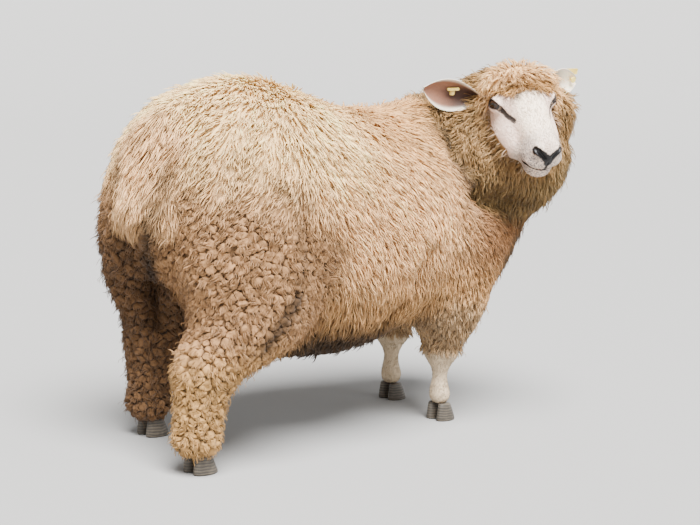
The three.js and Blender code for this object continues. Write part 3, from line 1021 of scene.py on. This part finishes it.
def buildEar(word):
    ear = earSetup[word]
    steps, strips = earSetup["steps"], earSetup["strips"]
    u, v = np.meshgrid(np.linspace(0, 0.995, steps), np.linspace(-1, 1, strips), indexing="ij")
    ripple = 0.5 * np.sin(9 * u + 3 * v) * (1 - v * v)
    inner = earSurface(ear, u, v * 0.985, ripple - 0.4)
    outer = earSurface(ear, u, v, 2.0 * v**4 - 3.6 + 0.3 * ripple)
    rows = np.concatenate((outer, inner[:, ::-1]), 1)
    points = np.concatenate((rows.reshape(-1, 3), [rows[0].mean(0), rows[-1].mean(0)]))
    faces = ringFaces(steps, 2 * strips, flipped=True)
    piece = meshObject("ear" + word.capitalize(), fromHead(points), faces, earMat)
    along, across = np.concatenate((u, u), 1).ravel(), np.concatenate((v, v[:, ::-1]), 1).ravel()
    edge = np.abs(across)
    isInner = np.tile(np.arange(2 * strips) >= strips, steps)
    pink = np.tile(ear["inside"], (len(along), 1))
    # Painted shade deep in the hollow, towards the root
    pink = blendColor(pink, earSetup["deep"], step(0.92, 0.42, along + 0.35 * edge - 0.12 * across))
    color = np.tile(earSetup["outside"], (len(along), 1))
    color = blendColor(color, pink, isInner * step(0.98, 0.72, edge))
    paintVertices(piece, "tint", np.concatenate((color, earSetup["ends"])))
    finish(piece, "ear_skin", f"ear_{word}")


tagSetup = {
    # millimetres from the ear's middle: towards the head, up across the ear, out of its hollow
    "bar": {"middle": (1.0, 9.5, 6.5), "size": (27, 5.6, 5.0), "corner": 2.2, "turn": 14},
    "flag": {"middle": (3.5, 0.5, 1.5), "size": (12, 10.5, 2.0), "corner": 3.5, "turn": 14},
    "button": {"middle": (3.5, 0.0, 3.4), "radius": 4.6, "height": 2.6},
    "boss": {"middle": (3.5, 0.0, 5.2), "radius": 2.1, "height": 1.4},
    "pin": {"middle": (3.5, 0.0, -1.2), "radius": 1.9, "height": 8.0},
    "back": {"middle": (3.5, 0.0, -6.0), "radius": 7.5, "height": 1.8},
}


def roundedOutline(width, height, corner, spokes=9):
    outline = []
    for quarter, (sx, sy) in enumerate(((1, 1), (-1, 1), (-1, -1), (1, -1))):
        turns = np.linspace(0, math.pi / 2, spokes) + quarter * math.pi / 2
        x = sx * (width / 2 - corner) + corner * np.cos(turns)
        y = sy * (height / 2 - corner) + corner * np.sin(turns)
        outline.append(np.stack((x, y), -1))
    return np.concatenate(outline)


def plateMesh(outline, thickness, bevel=0.5):
    # A closed plate with softened edges
    half = thickness / 2
    inset = 1 - bevel / np.abs(outline).max(0)
    layers = ((inset, -half), (1, bevel - half), (1, half - bevel), (inset, half))
    rows = [np.c_[outline * share, np.full(len(outline), z)] for share, z in layers]
    points = np.concatenate(rows + [[(0, 0, -half), (0, 0, half)]])
    return points, ringFaces(4, len(outline), flipped=True)


def buildRightTag():
    ear = earSetup["right"]
    reach, across, out = earBasis(ear)
    middle = earSurface(ear, np.array([0.5]), np.array([0.0]), 0.0)[0]
    points, faces, count = [], [], 0
    for part in tagSetup.values():
        if "radius" in part:
            outline = part["radius"] * np.stack((np.cos(circle(36)), np.sin(circle(36))), -1)
            body, plate = plateMesh(outline, part["height"], 0.4)
        else:
            width, height, thickness = part["size"]
            body, plate = plateMesh(roundedOutline(width, height, part["corner"]), thickness)
            body = body @ np.array(Matrix.Rotation(math.radians(-part["turn"]), 3, "Z"))
        points.append((body + part["middle"]) @ np.stack((-reach, -across, out)) + middle)
        faces.append(plate + count)
        count += len(body)
    points, faces = fromHead(np.concatenate(points)), np.concatenate(faces)
    piece = meshObject("tagRight", points, faces, tagMat, smooth=False)
    finish(piece, "tag_plastic", "tag_right")


buildEar("right")
buildEar("left")
buildRightTag()
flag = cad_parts["tag_left"].data
flag.materials.clear()
flag.materials.append(tagMat)
print("stage: ears and tags")

# Hooves

hoofSetup = {
    # millimetres; each foot's side and place
    "height": 38,
    "length": 60,
    "width": 25,
    "around": 28,
    "levels": 14,
    "cleft": 1.5,
    "back": 16,
    "feet": {
        "hind_right": (-1, -83.9, 468.1),
        "hind_left": (1, 172.1, 368.1),
        "fore_right": (-1, -41.9, -265.9),
        "fore_left": (1, 150.1, -321.9),
    },
}


def hoofRings(x, y, side):
    forward, outward = np.cos(circle(hoofSetup["around"])), np.sin(circle(hoofSetup["around"]))
    outward = outward * np.where(forward > 0, 1 - 0.3 * forward**2, 1)
    rows = []
    for t in np.linspace(0, 1, hoofSetup["levels"]):
        z = hoofSetup["height"] * t
        rounding = 1 - 0.045 * max(0, 1 - z / 2.5) - 0.10 * max(0, (z - 33) / 5) ** 2
        length = hoofSetup["length"] * (1 - 0.34 * t - 0.06 * t * t) * rounding
        width = hoofSetup["width"] * (1 - 0.10 * t - 0.14 * t**3) * rounding
        ridge = 1 + 0.006 * math.sin(z * 1.5)
        px = outward * width / 2 * ridge - side * hoofSetup["cleft"] * np.maximum(forward, 0)
        py = 9.2 * t - forward * length / 2 * ridge
        rows.append(np.stack((x + px, y + py, np.full(len(px), z)), -1))
    return rows


def buildHooves():
    points, triangles, names, count = [], [], [], 0
    apart = hoofSetup["width"] / 2 + hoofSetup["cleft"]
    for leg, (side, x, y) in hoofSetup["feet"].items():
        for word, way in (("outer", side), ("inner", -side)):
            rows = hoofRings(x + way * apart, y - hoofSetup["back"], way)
            points += rows + [[rows[0].mean(0), rows[-1].mean(0)]]
            triangles.append(ringFaces(len(rows), hoofSetup["around"], count, flipped=True))
            names.append(f"{leg}_hoof_{word}")
            count += len(rows) * hoofSetup["around"] + 2
    piece = meshObject("hooves", np.concatenate(points) * mm, np.concatenate(triangles), hornMat)
    finish(piece, "hoof_horn", *names)


buildHooves()
print("stage: hooves")

# Coat: where locks grow and which way they lie

random = np.random.default_rng(11)
tuftKeys = ("density", "length", "width", "height", "crimp", "waves", "pull", "clump", "curl")
coatSetup = {
    # tufts per square centimetre; length, width, height over the skin and crimp in mm; waves; pull to
    # the middle of a clump; size of a clump in mm; how far clumps stand apart as curls
    "fleece": (3.05, 30, 3.9, 11.5, 2.0, 1.8, 0.40, 12, 0.0),
    "tail": (4.2, 44, 3.6, 12, 1.8, 2.2, 0.45, 13, 0.0),
    "belly": (2.4, 26, 4.8, 12, 2.2, 1.3, 0.55, 18, 0.3),
    "thigh": (3.3, 16, 2.5, 11.5, 2.8, 1.2, 0.30, 27, 1.0),
    "shank": (3.6, 13, 2.3, 9.5, 2.3, 1.2, 0.30, 22, 1.0),
    "crown": (6.0, 28, 3.1, 15, 3.4, 2.0, 0.72, 13, 0.30),
    "cheek": (5.2, 26, 3.1, 15, 2.9, 2.3, 0.62, 11, 0.1),
    "ruff": (4.2, 33, 3.5, 17, 2.8, 2.3, 0.60, 13, 0.1),
    "short": (12.6, 5.5, 1.0, 0.9, 0.2, 0.6, 0.15, 5, 0.0),
    "foreLeg": (4.4, 20, 3.6, 11, 2.4, 1.6, 0.60, 15, 0.3),
}
rootSetup = {
    "quickShare": 0.35,
    # no tufts on leather past this, nearer to an eye's middle (mm), or lower than this (m)
    "leather": 0.3,
    "eyeGap": 19.5,
    "lowest": 0.034,
    "strayShare": 0.05,
    "strayRise": 1.7,
    "curlRise": 1.3,
}


def coatAt(points, bare):
    x, y, z = points.T
    hx, hy, hz = toHead(points).T
    near = step(225, 175, headReach(points))
    places = [
        ("belly", step(0.27, 0.22, z) * step(0.34, 0.26, np.abs(y - 0.02))),
        ("thigh", thighShare(points)),
        ("shank", shankShare(points)),
        ("foreLeg", step(0.31, 0.24, z) * step(-0.12, -0.2, y)),
        ("tail", tailShare(points)),
        ("ruff", near),
        ("cheek", near * step(-150, -100, hz)),
        ("crown", near * step(-30, 0, hz) * step(118, 95, hy)),
        ("short", step(0.3, 0.7, bare)),
    ]
    return dict(zip(tuftKeys, blendPlaces(coatSetup, "fleece", places).T))


def headWay(*vector):
    return np.array(vector, float) @ headTurn.T


def lieOfCoat(points, normals, bare):
    x, y, z = points.T
    hx, hy, hz = toHead(points).T
    top = step(0.55, 0.85, normals[:, 2])
    back = -0.40 + 1.1 * step(0.16, 0.44, y) + top * (-0.4 + 1.3 * step(-0.25, 0.2, y))
    flow = np.stack((0.9 * np.tanh((x - middleX) / 0.06) * top, back, np.full(len(x), -1.0)), -1)
    near = step(230, 190, headReach(points))
    forward = step(78, 52, hy)[:, None] * headWay(0, -1, -0.35)
    forward = forward + step(52, 78, hy)[:, None] * headWay(0, 1, -0.3)
    crown = forward + np.clip(hx / 70, -1, 1)[:, None] * headWay(0.9, 0, 0)
    places = (
        (step(0.36, 0.28, z), np.array((0, 0.05, -1.0))),
        (tailShare(points), np.array((0, 0.25, -1.0))),
        (near, 0.55 * headWay(0, 1, 0) + (0, 0, -1.0)),
        (near * step(-25, 0, hz), crown),
    )
    for share, way in places:
        flow = blendColor(flow, way, share)
    face = headWay(0, 1, 0) + np.clip(hx / 60, -1, 1)[:, None] * headWay(0.35, 0, -0.5)
    return np.where(((bare > 0.5) & (z > 0.3))[:, None], face, flow)


def tangent(flow, normals):
    return unit(flow - (flow * normals).sum(-1, keepdims=True) * normals)


def turned(flow, normals, angle):
    return flow * np.cos(angle)[:, None] + np.cross(normals, flow) * np.sin(angle)[:, None]


def sowRoots():
    mesh = skin.data
    mesh.calc_loop_triangles()
    corners = readAll(mesh.loop_triangles, "vertices", 3, np.int32)
    loops = readAll(mesh.loop_triangles, "loops", 3, np.int32)
    uv = readAll(mesh.uv_layers["OFBake"].data, "uv", 2)[loops]
    bare, leather = (readAll(mesh.attributes[name].data, "value") for name in ("bare", "leather"))
    places, normals = meshVectors(mesh), meshVectors(mesh, "normal")
    a, b, c = (places[corners[:, n]] for n in range(3))
    area = np.linalg.norm(np.cross(b - a, c - a), axis=-1) / 2
    middle = (a + b + c) / 3
    density = coatAt(middle, bare[corners].mean(1))["density"] * 1e4
    eyes = np.minimum(eyeReach(toHead(middle), -1), eyeReach(toHead(middle), 1))
    closed = (leather[corners].mean(1) > rootSetup["leather"]) | (eyes < rootSetup["eyeGap"])
    closed |= middle[:, 2] < rootSetup["lowest"]
    density = np.where(closed, 0, density) * 1
    expected = area * density
    total = int(expected.sum())
    chosen = random.choice(len(area), total, p=expected / expected.sum())
    r1, r2 = np.sqrt(random.random(total)), random.random(total)
    weights = np.stack((1 - r1, r1 * (1 - r2), r1 * r2), -1)
    corner = corners[chosen]

    def mixed(data):
        return (data * weights[:, :, None]).sum(1)

    bare = (bare[corner] * weights).sum(1)
    return mixed(places[corner]), unit(mixed(normals[corner])), mixed(uv[chosen]), bare


roots, rootNormals, rootUv, rootBare = sowRoots()
print("stage: roots", len(roots))

# Clumps and felted pads


def clumpsOf(points, size):
    # For each root: the middle of its clump, and how near it is to the next clump
    order = random.permutation(len(points))
    squat = points * (1, 1, 1.35)
    taken, kept = set(), []
    for n in order:
        spot = tuple((squat[n] / (size[n] * mm)).astype(int)) + (int(size[n] // 3),)
        if spot not in taken:
            taken.add(spot)
            kept.append(n)
    tree = treeOf(squat[kept], kept)
    found = [tree.find_n(point, 2) for point in squat]
    middle = np.array([first[1] for first, _ in found])
    gap = np.array([second[2] - first[2] for first, second in found]) / (size * mm)
    return middle, step(0.34, 0.06, gap)


def spacedOut(points, gap):
    # Indices of a subset, no two nearer than the gap
    taken, kept = {}, []
    cell = gap.max()
    around = [(i, j, k) for i in (-1, 0, 1) for j in (-1, 0, 1) for k in (-1, 0, 1)]
    for n in random.permutation(len(points)):
        x, y, z = np.floor(points[n] / cell).astype(int)
        near = [m for i, j, k in around for m in taken.get((x + i, y + j, z + k), ())]
        if all(((points[m] - points[n]) ** 2).sum() > gap[n] ** 2 for m in near):
            taken.setdefault((x, y, z), []).append(n)
            kept.append(n)
    return np.array(kept)


padSetup = {
    # share of the clump size between pads, spokes of each, and its rings: sideways and up
    "spacing": 0.80,
    "squat": (1, 1, 1.25),
    "spokes": 16,
    "rings": ((0.40, 0.98), (0.74, 0.94), (0.93, 0.78), (1.0, 0.40)),
    # metres: blend between neighbours' edges, widest and narrowest reach
    "rounding": 0.0012,
    "widest": 0.016,
    "narrowest": 0.003,
    "crack": 0.35,
    "sink": 2.5,
    "patch": 0.0015,
    "fibres": 900,
}


def padEdge(center, directions, away):
    # Reach of a pad along each spoke: half way to its neighbours, rounded, less the crack
    squat, rounding = padSetup["squat"], padSetup["rounding"]
    facing = (directions * squat) @ away.T
    edges = np.where(facing > 1e-6, (away**2).sum(-1) / (2 * np.maximum(facing, 1e-6)), 1)
    total = np.exp(-edges / rounding).sum(-1) + math.exp(-padSetup["widest"] / rounding)
    edge = -np.log(total) * rounding
    rim = center + directions * edge[:, None]
    gap = padSetup["crack"] * mm * (0.7 + 0.9 * waves(rim, 0.05, 44))
    return np.maximum(edge * (1 + 0.16 * waves(rim, 0.010, 45)) - gap, padSetup["narrowest"])


def buildPads(curly):
    # Felted pads: each fills its own cell between its neighbours
    spots, size = roots[curly], rootValues["clump"][curly] * mm
    squat, spokes = padSetup["squat"], padSetup["spokes"]
    spacing = size * padSetup["spacing"] * random.uniform(0.55, 1.35, len(spots))
    kept = spacedOut(spots * squat, spacing)
    chosen = curly[kept]
    centers, normals, uv = roots[chosen], rootNormals[chosen], rootUv[chosen]
    strength = step(0.55, 1.0, rootValues["curl"][chosen])
    heights = rootValues["height"][chosen] * mm * random.uniform(0.50, 0.80, len(kept))
    heights *= 0.35 + 0.65 * strength
    tree = treeOf(centers * squat, range(len(kept)))
    surface = bvhtree.BVHTree.FromObject(skin, bpy.context.evaluated_depsgraph_get())
    cosines, sines = np.cos(circle(spokes)), np.sin(circle(spokes))
    flat = unit(np.cross(normals, (0.3, 0.9, 0.2)))
    other = np.cross(normals, flat)
    wides = np.repeat([wide for wide, _ in padSetup["rings"]] + [1.15], spokes)
    share = np.r_[wides, 0, 1.2]
    levels = len(padSetup["rings"]) + 1
    spread = np.stack((np.r_[np.tile(cosines, levels), 0, 0], np.r_[np.tile(sines, levels), 0, 0]), -1)
    points, faces, tones, patches, count = [], [], [], [], 0
    for n, (center, normal, height) in enumerate(zip(centers, normals, heights)):
        neighbors = [m for _, m, _ in tree.find_n(center * squat, 12) if m != n]
        away = (centers[neighbors] - center) * squat
        directions = cosines[:, None] * flat[n] + sines[:, None] * other[n]
        edge = padEdge(center, directions, away)
        rows = []
        for wide, high in padSetup["rings"]:
            for direction, far in zip(directions, edge):
                near, lean = surface.find_nearest(Vector(center + direction * far * wide))[:2]
                # Weaker pads keep a fuller rim
                high = high + (0.9 - high) * 0.8 * (1 - strength[n]) if high < 0.9 else high
                rows.append(np.array(near) + np.array(lean) * height * high)
        skirt = np.array(rows[-spokes:]) - normal * (height * 0.18 + padSetup["sink"] * mm)
        body = np.concatenate([rows, skirt, [center + normal * height, skirt.mean(0)]])
        lumps = 2.4 * mm * waves(body, 0.013, 41) + 1.1 * mm * waves(body, 0.005, 42)
        points.append(body + normal * lumps[:, None])
        faces.append(ringFaces(levels, spokes, count))
        # Painted shade: each pad darkens towards its rim and skirt, in the cracks between pads
        dark = (0.20 + 0.26 * strength[n]) * step(0.84, 1.12, share)
        tones.append(random.normal(1, 0.07) * (1 - dark))
        patches.append(uv[n] + spread * share[:, None] * padSetup["patch"])
        count += len(body)
    points, tone = np.concatenate(points), np.concatenate(tones)
    # Painted shade: pads deep in a fold are darker; the waves vary their tone a little
    tone *= (1 - creaseShade * creaseShare(points)[1]) * (1 + 0.07 * waves(points, 0.006, 43))
    tint = np.clip(woolColor(points) * tone[:, None], 0, 1)
    return (points, np.concatenate(faces), tint, np.concatenate(patches)), chosen


# Locks


lockPatch = 0.003


def lockLines(pick, flow, side, phase, t):
    sizes = (rootValues[key][pick][:, None] * mm for key in ("length", "height", "crimp"))
    length, height, crimp = sizes
    angle = 2 * math.pi * (rootValues["waves"][pick][:, None] * t + phase[:, None])
    rise = height * (1 - (1 - t) ** 2.0) + 0.45 * crimp * np.cos(angle) * t
    along = length * (0.25 * t + 0.75 * t**1.3)
    sway = crimp * np.sin(angle) * t**0.6
    line = roots[pick][:, None] + flow[:, None] * along[..., None] + side[:, None] * sway[..., None]
    return line + rootNormals[pick][:, None] * rise[..., None]


def lockTint(pick, t):
    points, bare = roots[pick], rootBare[pick]
    curl, crack = rootValues["curl"][pick], rootCrack[pick]
    hair = np.where(points[:, 2:] < 0.3, hairColors["foreShank"], faceColor(points)[0])
    wool = blendColor(woolColor(points), hair, bare)
    shade = 1 + 0.10 * waves(points, 0.035, 21) + 0.07 * waves(points, 0.12, 22)
    # Painted shade: darker deep in a fold and in the cracks where clumps part
    shade *= (1 - creaseShade * creaseShare(points)[1]) * (1 - (0.06 + 0.42 * curl) * crack)
    own = random.normal(1, 0.07, len(points))
    warm = random.normal(0, 0.03, len(points))
    shade *= np.clip(own, 0.72, 1.22)
    shade = shade[:, None] * np.stack((1 + warm, np.ones(len(points)), 1 - 1.4 * warm), -1)
    # Darker towards the root: painted shade between the locks, with some dirt at the base; less on
    # short hair
    rootDirtAndShade = 0.74 + 0.26 * step(0.05, 0.6, t)
    rootDirtAndShade = 1 - (1 - rootDirtAndShade)[None] * (1 - 0.8 * bare[:, None])
    return np.clip(wool * shade, 0, 1)[:, None] * rootDirtAndShade[..., None]


def coatPiece(name, points, faces, tint, uv, lock, slot):
    piece = meshObject(name, points, faces, woolMat)
    paintVertices(piece, "tint", tint)
    setUv(piece, "OFBake", uv)
    setUv(piece, "Lock", lock)
    finish(piece, slot)
    return len(piece.data.polygons)


def growLocks(name, pick, rings, slot):
    count, middle = len(pick), rootClump[pick]
    t = np.linspace(0, 1, rings + 1)
    normals = rootNormals[pick]
    side = np.cross(normals, rootFlow[pick])
    line = lockLines(pick, rootFlow[pick], side, rootPhase[pick], t)
    clumpSide = np.cross(rootNormals[middle], rootFlow[middle])
    clumpLine = lockLines(middle, rootFlow[middle], clumpSide, rootPhase[middle], t)
    pull = (rootValues["pull"][pick] * random.uniform(0.7, 1.1, count))[:, None] * t**1.4
    line = line + (clumpLine - line) * np.clip(pull, 0, 0.95)[..., None]
    width = rootValues["width"][pick] * mm * random.uniform(0.75, 1.25, count)
    radius = width[:, None] / 2 * (0.65 + 0.35 * np.minimum(t / 0.3, 1)) * (1 - t**2.4)
    angles = np.radians((90, 210, 330))[None, :, None]
    around = side[:, None] * np.cos(angles) + 0.6 * normals[:, None] * np.sin(angles)
    body = line[:, :-1, None] + radius[:, :-1, None, None] * around[:, None]
    points = np.concatenate((body.reshape(count, -1, 3), line[:, -1:]), 1)
    # The faces of a lock: a point at its tip, one triangle at its root
    tip = rings * 3
    faces = ringFaces(rings, 3)
    faces = np.minimum(faces[(faces != tip).all(1)], tip)
    faces = np.concatenate((faces, [[0, 1, 2]]))
    faces = (faces[None] + (np.arange(count) * (tip + 1))[:, None, None]).reshape(-1, 3)
    ring = np.r_[np.repeat(np.arange(rings), 3), rings]
    turn = np.r_[np.tile((0.0, 0.33, 0.67), rings), 0.33]
    tint = lockTint(pick, t)[:, ring].reshape(-1, 3)
    patch = np.stack((turn - 0.5, t[ring] - 0.5), -1) * lockPatch
    uv = (rootUv[pick][:, None] + patch).reshape(-1, 2)
    phase = rootPhase[pick][:, None]
    lock = np.stack((turn + phase * 7, t[ring] + phase * 3), -1).reshape(-1, 2)
    return coatPiece(name, points.reshape(-1, 3), faces, tint, uv, lock, slot)


rootValues = coatAt(roots, rootBare)
rootClump, rootCrack = clumpsOf(roots, rootValues["clump"])
curl = rootValues["curl"]
curly = np.flatnonzero((curl > 0.5) & (rootBare < 0.5))
pads, padRows = buildPads(curly)
padTree = treeOf(roots[padRows] * padSetup["squat"], padRows)
for n in curly:
    first, second = padTree.find_n(roots[n] * padSetup["squat"], 2)
    rootClump[n] = first[1]
    gap = (second[2] - first[2]) / (rootValues["clump"][n] * mm)
    rootCrack[n] = step(0.26, 0.03, gap)
print("stage: pads", len(padRows))

# Varied roots: low and dark in the folds, low between clumps, a few stray locks standing out
many = len(roots)
fold = creaseShare(roots)[1] * (rootBare < 0.5)
length, height = rootValues["length"], rootValues["height"]
height[curly] *= rootSetup["curlRise"]
rootPhase = random.random(many)[rootClump] + random.normal(0, 0.10, many)
length *= random.uniform(0.8, 1.2, many) * (1 - 0.35 * curl * rootCrack) * (1 - 0.5 * fold)
height *= random.uniform(0.8, 1.1, many) * (1 + 0.10 * waves(roots, 0.05, 8))
height *= (1 - (0.12 + 0.50 * curl) * rootCrack) * (1 - 0.75 * fold)
stray = (random.random(many) < rootSetup["strayShare"]) & (rootBare < 0.5)
height *= np.where(stray, rootSetup["strayRise"], 1)
rootValues["pull"] *= np.where(stray, 0.2, 1)
rootFlow = tangent(lieOfCoat(roots, rootNormals, rootBare), rootNormals)
bend = 0.20 * waves(roots, 0.09, 31) + 0.14 * waves(roots, 0.022, 32)
bend += 0.45 * curl * random.normal(0, 1, many)[rootClump]
rootFlow = turned(rootFlow, rootNormals, bend + random.normal(0, 0.12, many))
print("stage: lie and clumps")

coatPieces = {
    # part of the coat: rings in each lock, most locks in one piece, slot
    "fleece": (4, 8400, "wool"),
    # The legs' and felt pads' dirty_wool slot holds dirt and painted shade: belly, far hind leg,
    # haunch, folds and cracks
    "legs": (3, 11500, "dirty_wool"),
    "headWool": (4, 8400, "wool"),
    "hair": (2, 18000, "face_hair"),
}


def coatPart():
    part = np.where(roots[:, 2] < 0.33, "legs", "fleece")
    part = np.where(curl > 0.5, "legs", part)
    part = np.where(headReach(roots) < 205, "headWool", part)
    return np.where(rootBare > 0.5, "hair", part)


def growPads():
    # Front and back halves, each a piece of its own
    points, faces, tint, uv = pads
    each = len(points) // len(padRows)
    front = points[::each, 1] < np.median(points[:, 1])
    total = 0
    for n, chosen in enumerate((front, ~front)):
        rows = np.repeat(chosen, each)
        own = (np.cumsum(rows) - 1)[faces[rows[faces[:, 0]]]]
        lock = uv[rows] * padSetup["fibres"]
        total += coatPiece(f"feltPads{n}", points[rows], own, tint[rows], uv[rows], lock, "dirty_wool")
    return total


parts = coatPart()
coatTriangles = 0
for part, (rings, most, slot) in coatPieces.items():
    members = np.flatnonzero(parts == part)
    members = members[np.argsort(roots[members, 1])]
    pieces = max(1, math.ceil(len(members) / most))
    for n, pick in enumerate(np.array_split(members, pieces)):
        coatTriangles += growLocks(f"{part}{n}", pick, rings, slot)
    print("stage:", part, len(members), "locks in", pieces, "pieces")
coatTriangles += growPads()
print("coat triangles", coatTriangles)
